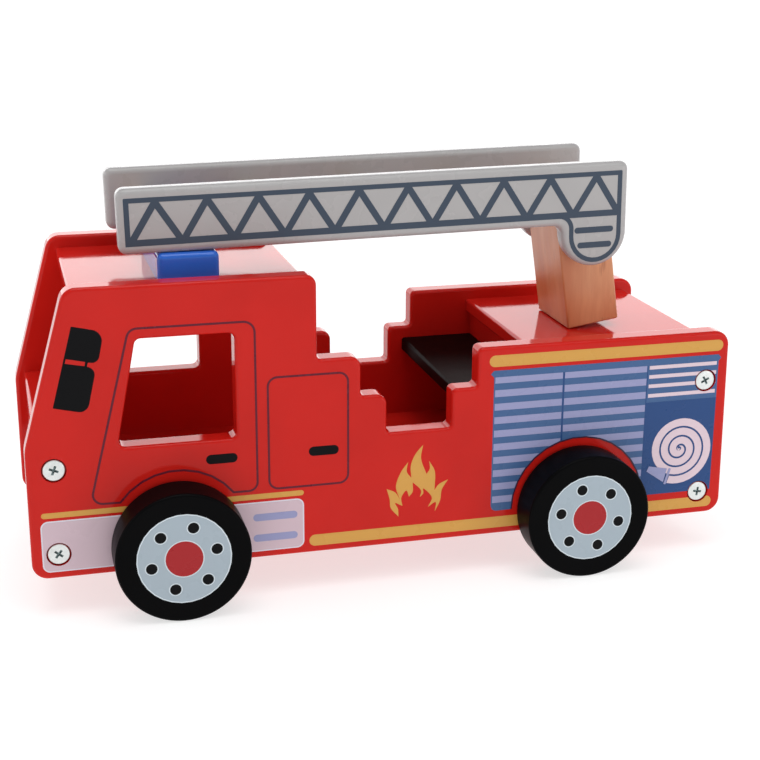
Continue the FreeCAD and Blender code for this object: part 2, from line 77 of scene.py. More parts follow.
def soft_box(name, place, towards, size, power):
    """A rectangular soft light at a place, turned towards a point. It isn't seen itself."""
    lamp = bpy.data.lights.new(name, "AREA")
    lamp.shape = "RECTANGLE"
    lamp.size, lamp.size_y = size
    lamp.energy = power
    item = bpy.data.objects.new(name, lamp)
    scene.collection.objects.link(item)
    item.location = place
    item.rotation_euler = (Vector(towards) - Vector(place)).to_track_quat("-Z", "Y").to_euler()
    item.visible_camera = False
    return item


soft_box("rear_soft_box", (0.8, 6.0, 2.1), (0.0, 0.0, 2.0), (14.0, 4.2), 335.0)
soft_box("side_soft_box", (0.6, -1.0, 1.7), (0.0, 0.0, 0.06), (1.0, 1.0), 4.5)
soft_box("low_soft_box", (0.55, -0.55, 0.22), (0.05, 0.0, 0.08), (0.35, 0.35), 0.6)
soft_box("top_soft_box", (-0.2, -0.3, 2.2), (0.0, 0.0, 0.0), (1.4, 1.4), 18.0)
soft_box("front_soft_box", (-2.2, 0.25, 0.9), (0.0, 0.0, 0.08), (1.0, 1.0), 7.0)

world = bpy.data.worlds.new("white_sweep")
scene.world = world
world.use_nodes = True
SKY_LOW, SKY_HIGH = 0.9, 0.36      # bright behind the table's far edge, dimmer above
sky = world.node_tree.nodes["Background"]
sky.inputs["Color"].default_value = (1.0, 1.0, 1.0, 1.0)
direction = world.node_tree.nodes.new("ShaderNodeTexCoord")
split = world.node_tree.nodes.new("ShaderNodeSeparateXYZ")
fade = world.node_tree.nodes.new("ShaderNodeMapRange")
fade.inputs["From Min"].default_value = 0.0
fade.inputs["From Max"].default_value = 0.35
fade.inputs["To Min"].default_value = SKY_LOW
fade.inputs["To Max"].default_value = SKY_HIGH
world.node_tree.links.new(direction.outputs["Generated"], split.inputs["Vector"])
world.node_tree.links.new(split.outputs["Z"], fade.inputs["Value"])
world.node_tree.links.new(fade.outputs["Result"], sky.inputs["Strength"])


def linear(colour):
    """A paint colour as mixed on a screen, 0 to 255, in the linear values that shaders take."""
    parts = [part / 255 for part in colour]
    return tuple(p / 12.92 if p <= 0.04045 else ((p + 0.055) / 1.055) ** 2.4 for p in parts) + (1.0,)


def new_material(name):
    """An empty node material: its tree and its shader."""
    material = bpy.data.materials.new(name)
    material.use_nodes = True
    return material, material.node_tree, material.node_tree.nodes["Principled BSDF"]


def noise(tree, scale, detail=2.0, stretch=None):
    """A noise on Object coordinates, with so many cells to the metre; stretch divides it along an axis."""
    coordinates = tree.nodes.new("ShaderNodeTexCoord")
    texture = tree.nodes.new("ShaderNodeTexNoise")
    texture.inputs["Scale"].default_value = scale
    texture.inputs["Detail"].default_value = detail
    source = coordinates.outputs["Object"]
    if stretch:
        mapping = tree.nodes.new("ShaderNodeMapping")
        mapping.inputs["Rotation"].default_value = stretch["turn"]
        mapping.inputs["Scale"].default_value = stretch["scale"]
        tree.links.new(source, mapping.inputs["Vector"])
        source = mapping.outputs["Vector"]
    tree.links.new(source, texture.inputs["Vector"])
    return texture.outputs["Fac"]


def spread(tree, source, low, high):
    """Stretch the middle of a noise over a range of values."""
    item = tree.nodes.new("ShaderNodeMapRange")
    item.inputs["From Min"].default_value = 0.3
    item.inputs["From Max"].default_value = 0.7
    item.inputs["To Min"].default_value = low
    item.inputs["To Max"].default_value = high
    tree.links.new(source, item.inputs["Value"])
    return item.outputs["Result"]


def blend_colours(tree, source, first, second):
    """Mix two colours by a factor. Either may be a colour or another mix."""
    item = tree.nodes.new("ShaderNodeMix")
    item.data_type = "RGBA"
    tree.links.new(source, item.inputs[0])
    for socket, colour in ((item.inputs[6], first), (item.inputs[7], second)):
        if isinstance(colour, tuple):
            socket.default_value = colour
        else:
            tree.links.new(colour, socket)
    return item.outputs[2]


def bump(tree, shader, source, height, strength=1.0):
    """Raise the surface by a noise, to a height in metres."""
    item = tree.nodes.new("ShaderNodeBump")
    item.inputs["Distance"].default_value = height
    item.inputs["Strength"].default_value = strength
    tree.links.new(source, item.inputs["Height"])
    tree.links.new(item.outputs["Normal"], shader.inputs["Normal"])


def shade(colour, factor):
    """A linear colour made darker or lighter."""
    return tuple(min(1.0, part * factor) for part in colour[:3]) + (1.0,)


TABLE_GLOW = 0.64


def table_top():
    material, tree, shader = new_material("table_white")
    white = linear((186, 186, 186))
    patches = spread(tree, noise(tree, 3.0), 0.0, 1.0)
    tree.links.new(blend_colours(tree, patches, shade(white, 0.99), white), shader.inputs["Base Color"])
    tree.links.new(spread(tree, noise(tree, 900.0), 0.75, 0.9), shader.inputs["Roughness"])
    shader.inputs["Specular IOR Level"].default_value = 0.2
    shader.inputs["Emission Color"].default_value = (1.0, 1.0, 1.0, 1.0)
    shader.inputs["Emission Strength"].default_value = TABLE_GLOW
    bump(tree, shader, noise(tree, 1500.0), 0.02 * MM)
    return material


bpy.ops.object.select_all(action="DESELECT")
bpy.ops.mesh.primitive_plane_add(size=16.0, location=(0.0, 0.0, 0.0))
table = bpy.context.object
table.name = "table"
table.data.materials.append(table_top())


# ---- Side panels and cross boards ------------------------------------------------------------------------
# Nine millimetre MDF panels and six millimetre boards, sprayed with red gloss lacquer after the edges were
# rounded. The boards are glued between the panels, and the end boards are screwed from the outside.

def lacquer(name, colour, level=0.3, gloss=(0.05, 0.11), uneven=0.05, peel=0.012):
    """Sprayed gloss lacquer: slightly uneven in colour and shine, with a faint orange peel."""
    material, tree, shader = new_material(name)
    base = linear(colour)
    cloud = spread(tree, noise(tree, 35.0, 4.0), 0.0, 1.0)
    tree.links.new(
        blend_colours(tree, cloud, shade(base, 1 - uneven), shade(base, 1 + uneven)),
        shader.inputs["Base Color"],
    )
    tree.links.new(spread(tree, noise(tree, 90.0, 5.0), *gloss), shader.inputs["Roughness"])
    shader.inputs["Specular IOR Level"].default_value = level
    bump(tree, shader, noise(tree, 260.0, 1.0), peel * MM)
    return material


red_lacquer = lacquer("red_lacquer", (203, 32, 25), level=0.17)
for name in ("left_side_panel", "right_side_panel", "cab_roof", "rear_deck", "front_board", "tail_board",
             "floor_board", "bulkhead"):
    cad[name].material_slots[0].material = red_lacquer


# ---- Bench seat ------------------------------------------------------------------------------------------
# A board like the others, brushed with dark brown paint instead of red.

seat_paint = lacquer("seat_paint", (22, 7, 7), level=0.012, gloss=(0.3, 0.42))
cad["bench_seat"].material_slots[0].material = seat_paint


# ---- Roof light ------------------------------------------------------------------------------------------
# A block of wood with rounded edges in blue gloss lacquer, glued across the roof.

cad["roof_light"].material_slots[0].material = lacquer("blue_lacquer", (44, 108, 214), level=0.4)


# ---- Printing on the side panels -------------------------------------------------------------------------
# Screen printing in thin coats of satin ink, the same on both sides: doors and a dark quarter window on the
# cab, a pale bumper, gold stripes with a flame, and a roller shutter with a coiled hose on the rear box.
# Places are in millimetres along a panel and up it, from a point just inside its lower front corner.

PRINT_INSET = Vector((0.4, 0.0, 0.5)) * MM
print_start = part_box("left_side_panel")[0] + PRINT_INSET
INK = 0.05                  # one coat of ink
SUNK = 0.02                 # how far the first coat's underside lies in the wood
SCREW_PLACES = ((9.55, 9.2), (9.55, 42.0), (267.1, 9.2), (267.1, 56.9))
RECESS_RADIUS = 4.6
AXLE_HOLE_RADIUS = 3.0
ARC_STEP = math.radians(12)


def arc(centre, radius, start, end):
    """Points along an arc, with its angles in degrees anticlockwise from the right."""
    start, end = math.radians(start), math.radians(end)
    count = max(2, math.ceil(abs(end - start) / ARC_STEP))
    angles = [start + (end - start) * i / count for i in range(count + 1)]
    return [(centre[0] + radius * math.cos(a), centre[1] + radius * math.sin(a)) for a in angles]


def disc(centre, radius):
    return arc(centre, radius, 0, 360)[:-1]


def rounded(corners, closed=True):
    """An outline from corners given as (x, z, radius), each rounded by a true arc."""
    points = []
    for i, (x, z, radius) in enumerate(corners):
        here = Vector((x, z))
        at_end = not closed and i in (0, len(corners) - 1)
        if radius == 0 or at_end:
            points.append(tuple(here))
            continue
        back = (Vector(corners[i - 1][:2]) - here).normalized()
        ahead = (Vector(corners[(i + 1) % len(corners)][:2]) - here).normalized()
        half = back.angle(ahead) / 2
        centre = here + (back + ahead).normalized() * radius / math.sin(half)
        first = here + back * radius / math.tan(half) - centre
        turn = math.pi - 2 * half
        if first.y * back.x - first.x * back.y < 0:
            turn = -turn
        count = max(2, math.ceil(abs(turn) / ARC_STEP))
        for step in range(count + 1):
            angle = turn * step / count
            spoke = Vector((first.x * math.cos(angle) - first.y * math.sin(angle),
                            first.x * math.sin(angle) + first.y * math.cos(angle)))
            points.append(tuple(centre + spoke))
    return points


def oblong(left, right, low, high, radius):
    """A rectangle with rounded corners."""
    return rounded([(left, low, radius), (right, low, radius), (right, high, radius), (left, high, radius)])


def bar(left, right, middle, thick):
    """A straight bar with round ends."""
    return oblong(left, right, middle - thick / 2, middle + thick / 2, thick * 0.499)


def band(points, width, closed=False):
    """The outlines of a line drawn along points: one for an open line, an outer and an inner for a ring."""
    count = len(points)
    sides = ([], [])
    for i, (x, z) in enumerate(points):
        before = Vector(points[i - 1] if closed or i else points[i])
        after = Vector(points[(i + 1) % count] if closed or i < count - 1 else points[i])
        along = (after - before).normalized()
        for side, reach in zip(sides, (width / 2, -width / 2)):
            side.append((x - along.y * reach, z + along.x * reach))
    if closed:
        return [sides[0], sides[1]]
    return [sides[0] + sides[1][::-1]]


def flowing(points, steps=5):
    """A smooth outline through points. A third value of True makes a point a sharp tip."""
    count = len(points)
    places = [Vector(point[:2]) for point in points]
    sharp = [len(point) > 2 for point in points]
    result = []
    for i in range(count):
        after = (i + 1) % count
        run = places[after] - places[i]
        leave = run if sharp[i] else (places[after] - places[i - 1]) / 2
        arrive = run if sharp[after] else (places[(i + 2) % count] - places[i]) / 2
        for step in range(steps):
            s = step / steps
            point = (places[i] * (2 * s**3 - 3 * s**2 + 1) + leave * (s**3 - 2 * s**2 + s)
                     + places[after] * (3 * s**2 - 2 * s**3) + arrive * (s**3 - s**2))
            result.append(tuple(point))
    return result


def select_only(piece):
    bpy.ops.object.select_all(action="DESELECT")
    piece.select_set(True)
    bpy.context.view_layer.objects.active = piece


def close_up(piece):
    """Merge doubled points and turn every face outwards."""
    select_only(piece)
    bpy.ops.object.mode_set(mode="EDIT")
    bpy.ops.mesh.select_all(action="SELECT")
    bpy.ops.mesh.remove_doubles(threshold=1e-7)
    bpy.ops.mesh.normals_make_consistent(inside=False)
    bpy.ops.object.mode_set(mode="OBJECT")


def cut_out(name, outlines, low, high, place):
    """A flat shape drawn in millimetres, as thick as from low to high, then put in its place."""
    curve = bpy.data.curves.new(name, "CURVE")
    curve.dimensions = "2D"
    curve.fill_mode = "BOTH"
    curve.extrude = (high - low) / 2
    for outline in outlines:
        spline = curve.splines.new("POLY")
        spline.points.add(len(outline) - 1)
        for point, (x, y) in zip(spline.points, outline):
            point.co = (x, y, 0.0, 1.0)
        spline.use_cyclic_u = True
    piece = bpy.data.objects.new(name, curve)
    scene.collection.objects.link(piece)
    select_only(piece)
    bpy.ops.object.convert(target="MESH")
    piece = bpy.context.object
    piece.data.transform(
        place @ Matrix.Scale(MM, 4) @ Matrix.Translation((0.0, 0.0, (low + high) / 2))
    )
    close_up(piece)
    return piece


def drill(piece, cutter):
    """Cut one piece out of another, and throw the cutter away."""
    select_only(piece)
    bpy.ops.object.modifier_add(type="BOOLEAN")
    piece.modifiers[-1].operation = "DIFFERENCE"
    piece.modifiers[-1].solver = "EXACT"
    piece.modifiers[-1].object = cutter
    bpy.ops.object.modifier_apply(modifier=piece.modifiers[-1].name)
    bpy.data.objects.remove(cutter)


def mirror_copy(piece, name):
    """The same piece on the other side of the engine, with a mesh of its own."""
    other = piece.copy()
    other.data = piece.data.copy()
    other.name = name
    scene.collection.objects.link(other)
    other.data.transform(Matrix.Diagonal((1.0, -1.0, 1.0, 1.0)))
    close_up(other)
    return other


def ink(name, colour, gloss=(0.22, 0.34), level=0.25):
    """Satin printing ink: even in colour but for the mesh of the screen, on the lacquer's own ripples."""
    return lacquer(name, colour, level=level, gloss=gloss, uneven=0.015, peel=0.006)


STAND_UP = Matrix.Rotation(math.radians(90), 4, "X")
panel_place = Matrix.Translation(print_start) @ STAND_UP
axle_places = []
for name in ("front_axle", "rear_axle"):
    low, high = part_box(name)
    middle = ((low + high) / 2 - print_start) / MM
    axle_places.append((middle.x, middle.z))


def print_on_panels(name, outlines, coat, material):
    """Print a shape on the left panel's outer face and mirrored on the right one's."""
    low = -SUNK if coat == 1 else (coat - 1) * INK - SUNK / 2
    left = cut_out(f"left_{name}", outlines, low, coat * INK, panel_place)
    cutters = [disc(centre, RECESS_RADIUS) for centre in SCREW_PLACES]
    cutters += [disc(centre, AXLE_HOLE_RADIUS) for centre in axle_places]
    drill(left, cut_out("recess_cutter", cutters, -1.0, 1.0, panel_place))
    left.data.materials.append(material)
    right = mirror_copy(left, f"right_{name}")
    for piece in (left, right):
        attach(piece, "chassis")


gold_ink = ink("gold_ink", (214, 160, 78))
FLAME = [
    (139.4, 11.0, True), (136.3, 14.8), (135.8, 18.6), (134.6, 22.9, True), (138.0, 21.2),
    (139.9, 18.2, True), (138.3, 23.6), (140.2, 29.2), (143.1, 33.2, True), (142.6, 29.4),
    (144.5, 26.6, True),
    (144.2, 31.6), (146.0, 36.2), (149.1, 39.8, True), (148.3, 34.2), (150.6, 27.6, True),
    (151.9, 29.8), (151.6, 33.0, True), (154.0, 28.2), (153.9, 20.6, True),
    (155.8, 23.0), (159.4, 24.6, True), (156.9, 20.6), (156.3, 16.2), (154.2, 11.8, True),
    (154.5, 15.6), (151.4, 13.9, True), (152.9, 17.8), (149.4, 21.8), (149.4, 19.8), (148.0, 18.3, True),
    (148.4, 21.2), (145.0, 24.8, True), (145.1, 21.0), (143.6, 18.9, True), (142.5, 21.6), (140.5, 18.8),
    (141.0, 15.3, True), (138.0, 16.8), (139.2, 14.2),
]
print_on_panels("gold_print", [
    bar(4.0, 101.9, 24.7, 2.1),
    bar(103.9, 273.4, 4.6, 4.6),
    bar(175.3, 273.9, 71.3, 4.6),
    flowing(FLAME),
], 1, gold_ink)

line_ink = ink("dark_line_ink", (96, 20, 40))
door_line = rounded([
    (32.8, 27.4, 0), (22.0, 27.6, 3.6), (38.6, 93.3, 3.8),
    (84.2, 93.3, 4.2), (84.2, 27.3, 3.4), (75.0, 27.4, 0),
], closed=False) + arc((53.9, 11.95), 26.15, 36.2, 143.8)
rear_door = oblong(88.7, 119.3, 27.3, 71.3, 3.6)
DOOR_LINE = 0.8
door_lines = band(door_line, DOOR_LINE, closed=True) + band(rear_door, DOOR_LINE, closed=True)
print_on_panels("door_lines", door_lines, 1, line_ink)

black_ink = ink("black_ink", (14, 14, 16), gloss=(0.3, 0.4), level=0.08)
quarter_window = rounded([
    (18.6, 95.5, 0.3), (29.9, 92.9, 4.2), (27.4, 81.3, 2.6), (23.8, 81.9, 0.2), (23.4, 80.3, 0.2),
    (26.6, 79.6, 3.0), (22.7, 62.9, 3.4), (10.6, 65.7, 0.3),
])
window_slot = [(16.2, 83.7), (22.9, 82.2), (22.6, 80.6), (15.7, 82.0)]
print_on_panels("black_print", [
    quarter_window,
    window_slot,
    bar(65.0, 76.8, 41.2, 3.7),
    bar(104.0, 115.6, 41.0, 3.7),
], 1, black_ink)

white_ink = ink("white_ink", (226, 222, 232))
bumper_ink = ink("bumper_ink", (212, 188, 198))
lilac_ink = ink("lilac_ink", (154, 156, 196))
print_on_panels("bumper_edge", [oblong(3.5, 101.9, 2.3, 22.5, 2.8)], 1, white_ink)
print_on_panels("bumper_print", [oblong(4.0, 101.4, 2.8, 22.0, 2.4)], 2, bumper_ink)
print_on_panels("bumper_bars", [bar(82.2, 99.3, 16.2, 2.9), bar(82.2, 99.3, 7.8, 2.9)], 3, lilac_ink)

SHUTTER_LEFT, SHUTTER_RIGHT, SHUTTER_TOP, SHUTTER_BOTTOM = 177.3, 241.8, 64.8, 9.4
BOX_RIGHT = 272.4
SLAT_PITCH, SLAT_HIGH, SLATS = 5.5, 2.8, 10
ARCH, ARCH_RADIUS = (213.8, 9.5), 27.9      # the blind ends in an arch over the rear wheel
blue_ink = ink("blue_ink", (68, 100, 146))
deep_blue_ink = ink("deep_blue_ink", (40, 74, 128))
vent_ink = ink("vent_ink", (226, 204, 214))
shutter = (
    [(SHUTTER_LEFT, SHUTTER_BOTTOM + 2.0), (SHUTTER_LEFT + 0.6, SHUTTER_BOTTOM + 0.6),
     (SHUTTER_LEFT + 2.0, SHUTTER_BOTTOM)]
    + arc(ARCH, ARCH_RADIUS, 180, 0)
    + [(SHUTTER_RIGHT, SHUTTER_BOTTOM), (SHUTTER_RIGHT, 49.4), (BOX_RIGHT, 49.4), (BOX_RIGHT, 64.8),
       (273.4, 66.1), (272.2, 67.5), (177.2, 67.5), (175.9, 66.1), (SHUTTER_LEFT, 64.8)]
)
print_on_panels("shutter_print", [shutter], 1, blue_ink)


def over_arch(height, sign):
    """Where a level line meets the arch over the rear wheel, before (-1) or after (1) its middle."""
    rise = height - ARCH[1]
    reach = math.sqrt(max(0.0, (ARCH_RADIUS + 0.3) ** 2 - rise ** 2))
    return ARCH[0] + sign * reach


slats = []
DIVIDER = 206.1
for number in range(SLATS):
    top = min(SHUTTER_TOP, 65.1 - number * SLAT_PITCH)
    low = 65.1 - number * SLAT_PITCH - SLAT_HIGH
    for left, right in ((SHUTTER_LEFT + 0.5, DIVIDER - 0.45), (DIVIDER + 0.45, SHUTTER_RIGHT - 0.5)):
        if low > ARCH[1] + ARCH_RADIUS + 0.3:
            slats.append([(left, low), (right, low), (right, top), (left, top)])
            continue
        sign = -1 if left < DIVIDER - 10 else 1
        heights = [low + (top - low) * i / 6 for i in range(7)]
        reach = [over_arch(h, sign) for h in heights]
        if sign < 0:
            edge = [(min(right, r), h) for r, h in zip(reach, heights)]
            slats.append([(left, top), (left, low)] + edge)
        else:
            edge = [(max(left, r), h) for r, h in zip(reach, heights)]
            if edge[-1][0] < right - 0.3:
                edge = [(min(u, right), h) for u, h in edge]
                slats.append([(right, top), (right, low)] + edge)
print_on_panels("slat_print", slats, 2, lilac_ink)
print_on_panels("shutter_frame", [
    [(DIVIDER - 0.35, 36.6), (DIVIDER + 0.35, 36.6), (DIVIDER + 0.35, SHUTTER_TOP),
     (DIVIDER - 0.35, SHUTTER_TOP)],
    [(SHUTTER_RIGHT - 0.4, 14.5), (SHUTTER_RIGHT, 14.5), (SHUTTER_RIGHT, 9.8), (BOX_RIGHT, 9.8),
     (BOX_RIGHT, 49.4), (SHUTTER_RIGHT, 49.4), (SHUTTER_RIGHT, 64.8), (SHUTTER_RIGHT - 0.4, 64.8)],
], 2, deep_blue_ink)
arch_line_ink = ink("arch_line_ink", (62, 30, 52))
print_on_panels("arch_line", band(arc(ARCH, ARCH_RADIUS, 180, 0), 0.55), 3, arch_line_ink)
VENT_LEFT, VENT_RIGHT, VENT_HIGH = 242.4, 271.6, 1.5
print_on_panels("vent_print", [
    [(VENT_LEFT, high - VENT_HIGH), (VENT_RIGHT, high - VENT_HIGH), (VENT_RIGHT, high), (VENT_LEFT, high)]
    for high in (64.7, 60.9, 57.0, 53.0)
], 2, vent_ink)

HOSE_CENTRE = (257.5, 28.6)
HOSE_WIDE, HOSE_PITCH, HOSE_OUT, HOSE_END = 3.3, 3.85, 13.45, -108.0


def coil(first, turns, shift):
    """Points along the hose's spiral, so far outside its middle line; it narrows by its pitch in a turn."""
    points = []
    for step in range(round(turns * 36) + 1):
        angle = math.radians(HOSE_END + first + step * 10)
        reach = HOSE_OUT + shift - HOSE_PITCH * (first + step * 10) / 360
        points.append((HOSE_CENTRE[0] + reach * math.cos(angle), HOSE_CENTRE[1] + reach * math.sin(angle)))
    return points


print_on_panels("hose_print", [coil(0, 1, HOSE_WIDE / 2)], 3, vent_ink)
gap_line = coil(0, 3.05, -HOSE_PITCH / 2)
print_on_panels("hose_gap_print", band(gap_line, HOSE_PITCH - HOSE_WIDE + 0.2) + [disc(gap_line[-1], 0.85)],
                4, deep_blue_ink)
print_on_panels("nozzle_print", [
    [(243.6, 20.1), (244.6, 22.2), (252.6, 20.6), (251.2, 14.8)],
    rounded([(251.4, 14.0, 0.4), (252.4, 13.7, 0.4), (254.4, 20.4, 0.4), (253.4, 20.7, 0.4)]),
], 5, lilac_ink)


# ---- Side screws -----------------------------------------------------------------------------------------
# Zinc plated wood screws with cross heads, two at each end of each panel, sunk level in a drilled recess.

def plated(name, colour, gloss, uneven=0.12):
    """Bright zinc plating with fine scratches and cloudy shine."""
    material, tree, shader = new_material(name)
    base = linear(colour)
    cloud = spread(tree, noise(tree, 700.0, 4.0), 0.0, 1.0)
    tree.links.new(
        blend_colours(tree, cloud, shade(base, 1 - uneven), shade(base, 1.0)), shader.inputs["Base Color"]
    )
    shader.inputs["Metallic"].default_value = 1.0
    tree.links.new(spread(tree, noise(tree, 1100.0, 6.0), *gloss), shader.inputs["Roughness"])
    bump(tree, shader, noise(tree, 2600.0, 3.0), 0.01 * MM)
    return material


zinc = plated("zinc_plate", (226, 230, 228), (0.28, 0.45))
# The cross recess gets a darker, mottled, rougher zinc: painted shade inside the recess.
slot_shade = plated("zinc_with_painted_slot_shade", (150, 168, 168), (0.5, 0.7), uneven=0.4)
screw_low, screw_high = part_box("side_screws")
HEAD_RADIUS, HEAD_THICK, SHANK_RADIUS, SHANK_LONG = 4.1 * MM, 2.0 * MM, 1.9 * MM, 26.0 * MM
CROSS_LONG, CROSS_WIDE, CROSS_DEEP, CROSS_MIDDLE = 4.3 * MM, 1.0 * MM, 1.3 * MM, 0.35 * MM
CROSS_TURNS = (38, 22, 8, 62)


def cross_screw(name):
    """One screw at the origin: its head looks along -Y, and its cross is straight."""
    bpy.ops.object.select_all(action="DESELECT")
    bpy.ops.mesh.primitive_cylinder_add(
        vertices=48, radius=HEAD_RADIUS, depth=HEAD_THICK,
        location=(0.0, HEAD_THICK / 2, 0.0), rotation=(math.radians(90), 0.0, 0.0))
    piece = bpy.context.object
    piece.name = name
    bpy.ops.object.transform_apply(location=True, rotation=True, scale=True)
    bpy.ops.object.mode_set(mode="EDIT")
    bpy.ops.mesh.select_mode(type="FACE")
    bpy.ops.mesh.select_all(action="DESELECT")
    bpy.ops.object.mode_set(mode="OBJECT")
    for face in piece.data.polygons:
        face.select = face.normal.y > 0.9
    bpy.ops.object.mode_set(mode="EDIT")
    bpy.ops.mesh.inset(thickness=HEAD_RADIUS - SHANK_RADIUS)
    bpy.ops.mesh.extrude_region_move(TRANSFORM_OT_translate={"value": (0.0, SHANK_LONG - 4 * MM, 0.0)})
    bpy.ops.mesh.extrude_region_move(TRANSFORM_OT_translate={"value": (0.0, 4 * MM, 0.0)})
    bpy.ops.transform.resize(value=(0.2, 1.0, 0.2))
    bpy.ops.mesh.select_all(action="DESELECT")
    bpy.ops.object.mode_set(mode="OBJECT")
    for face in piece.data.polygons:
        face.select = face.normal.y < -0.9
    bpy.ops.object.mode_set(mode="EDIT")
    bpy.ops.mesh.bevel(offset=0.45 * MM, segments=4, profile=0.5, affect="EDGES")
    bpy.ops.object.mode_set(mode="OBJECT")
    piece.data.materials.append(zinc)
    piece.data.materials.append(slot_shade)
    for turn in (0, 90):
        bpy.ops.object.select_all(action="DESELECT")
        bpy.ops.mesh.primitive_cube_add(size=1.0)
        wing = bpy.context.object
        wing.data.transform(
            Matrix.Translation((0.0, CROSS_MIDDLE, 0.0))
            @ Matrix.Diagonal((CROSS_LONG, CROSS_DEEP, CROSS_WIDE, 1.0)))
        for vertex in wing.data.vertices:
            if vertex.co.y > CROSS_MIDDLE:
                vertex.co.x *= 0.35
                vertex.co.z *= 0.6
        wing.data.transform(Matrix.Rotation(math.radians(turn), 4, "Y"))
        drill(piece, wing)
    # Faces inside the cross recess take the darker zinc of the painted shade; the rest of the head stays
    # bright zinc.
    for face in piece.data.polygons:
        near_axis = math.hypot(face.center.x, face.center.z) < 2.3 * MM
        below_face = 0.02 * MM < face.center.y < 1.9 * MM
        face.material_index = 1 if near_axis and below_face else 0
    return piece


def turned_copy(piece, name, place):
    """A copy with its own mesh, put in place in the mesh itself."""
    other = piece.copy()
    other.data = piece.data.copy()
    other.name = name
    scene.collection.objects.link(other)
    other.data.transform(place)
    return other


master_screw = cross_screw("screw_master")
select_only(master_screw)
bpy.ops.object.shade_smooth_by_angle(angle=math.radians(35))
number = 0
for side in (-1, 1):
    face = screw_low.y if side < 0 else screw_high.y
    for (along, up), turn in zip(SCREW_PLACES, CROSS_TURNS):
        number += 1
        place = (
            Matrix.Translation((print_start.x + along * MM, face, print_start.z + up * MM))
            @ Matrix.Rotation(0.0 if side < 0 else math.pi, 4, "Z")
            @ Matrix.Rotation(math.radians(turn), 4, "Y")
        )
        screw = turned_copy(master_screw, f"side_screw_{number}", place)
        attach(screw, "chassis")
        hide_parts("side_screws")
bpy.data.objects.remove(master_screw)


# ---- Wheels ----------------------------------------------------------------------------------------------
# Turned wooden discs in satin black with rounded rims, each with a printed wheel face: a grey disc with a
# pale edge, six dark wheel bolts and a red centre. They are pressed on the ends of the axles.

tyre_paint = lacquer("tyre_paint", (9, 9, 10), level=0.03, gloss=(0.3, 0.42), uneven=0.12)
pale_ink = ink("pale_ring_ink", (214, 224, 230))
wheel_ink = ink("wheel_grey_ink", (168, 182, 192))
hub_ink = ink("hub_red_ink", (168, 32, 37))
WHEELS = {
    "wheel_front_left": ("front_wheelset", 12.9),
    "wheel_front_right": ("front_wheelset", 34.0),
    "wheel_rear_left": ("rear_wheelset", 47.6),
    "wheel_rear_right": ("rear_wheelset", 5.0),
}
FACE_RADIUS, HUB_RADIUS, BOLT_RADIUS, BOLT_CIRCLE, RING = 17.55, 6.95, 2.1, 12.4, 0.45
BOLTS = 6
bolt_places = [arc((0.0, 0.0), BOLT_CIRCLE, 60 * k, 60 * k + 1)[0] for k in range(BOLTS)]
WHEEL_PRINTS = [
    ("ring", [disc((0.0, 0.0), FACE_RADIUS)], 1, pale_ink),
    ("face", [disc((0.0, 0.0), FACE_RADIUS - RING), disc((0.0, 0.0), HUB_RADIUS + RING)]
     + [disc(centre, BOLT_RADIUS + RING) for centre in bolt_places], 2, wheel_ink),
    ("bolts", [disc(centre, BOLT_RADIUS) for centre in bolt_places], 2, black_ink),
    ("hub", [disc((0.0, 0.0), HUB_RADIUS)], 2, hub_ink),
]
for name, (body, turn) in WHEELS.items():
    low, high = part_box(name)
    side = -1 if low.y < 0 else 1
    centre = (low + high) / 2
    face = low.y if side < 0 else high.y
    cad[name].material_slots[0].material = tyre_paint
    place = (
        Matrix.Translation((centre.x, face, centre.z))
        @ Matrix.Rotation(0.0 if side < 0 else math.pi, 4, "Z")
        @ Matrix.Rotation(math.radians(-turn), 4, "Y")
        @ STAND_UP
    )
    for part, outlines, coat, material in WHEEL_PRINTS:
        start = -SUNK if coat == 1 else (coat - 1) * INK - SUNK / 2
        piece = cut_out(f"{name}_{part}", outlines, start, coat * INK, place)
        piece.data.materials.append(material)
        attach(piece, body)


# ---- Axles -----------------------------------------------------------------------------------------------
# Drawn steel rods through both panels, pressed into the wheels.

steel = plated("drawn_steel", (176, 176, 174), (0.3, 0.5))
for name in ("front_axle", "rear_axle"):
    cad[name].material_slots[0].material = steel


# ---- Turntable block -------------------------------------------------------------------------------------
# A block of beech with its grain upright, lightly sanded edges and a thin clear varnish. It stands on its
# front edge and leans forward on a slack screw.

def beech(name, light, dark, turn, long_grain, gloss=(0.28, 0.42)):
    """Varnished beech: soft growth bands, fine pores drawn out along the grain, a few darker flecks."""
    material, tree, shader = new_material(name)
    along = {"turn": turn, "scale": long_grain}
    bands = spread(tree, noise(tree, 60.0, 3.0, along), 0.0, 1.0)
    pores = spread(tree, noise(tree, 900.0, 4.0, along), 0.0, 1.0)
    mixed = blend_colours(tree, bands, linear(light), linear(dark))
    fleck = tree.nodes.new("ShaderNodeMapRange")
    fleck.inputs["From Min"].default_value = 0.62
    fleck.inputs["From Max"].default_value = 0.8
    tree.links.new(noise(tree, 420.0, 2.0, along), fleck.inputs["Value"])
    flecked = blend_colours(tree, fleck.outputs["Result"], mixed, shade(linear(dark), 0.72))
    pored = blend_colours(tree, pores, flecked, shade(linear(dark), 0.9))
    soft = tree.nodes.new("ShaderNodeMix")
    soft.data_type = "RGBA"
    soft.inputs[0].default_value = 0.25
    tree.links.new(flecked, soft.inputs[6])
    tree.links.new(pored, soft.inputs[7])
    tree.links.new(soft.outputs[2], shader.inputs["Base Color"])
    tree.links.new(spread(tree, noise(tree, 200.0, 4.0, along), *gloss), shader.inputs["Roughness"])
    shader.inputs["Specular IOR Level"].default_value = 0.5
    bump(tree, shader, noise(tree, 900.0, 4.0, along), 0.03 * MM)
    return material


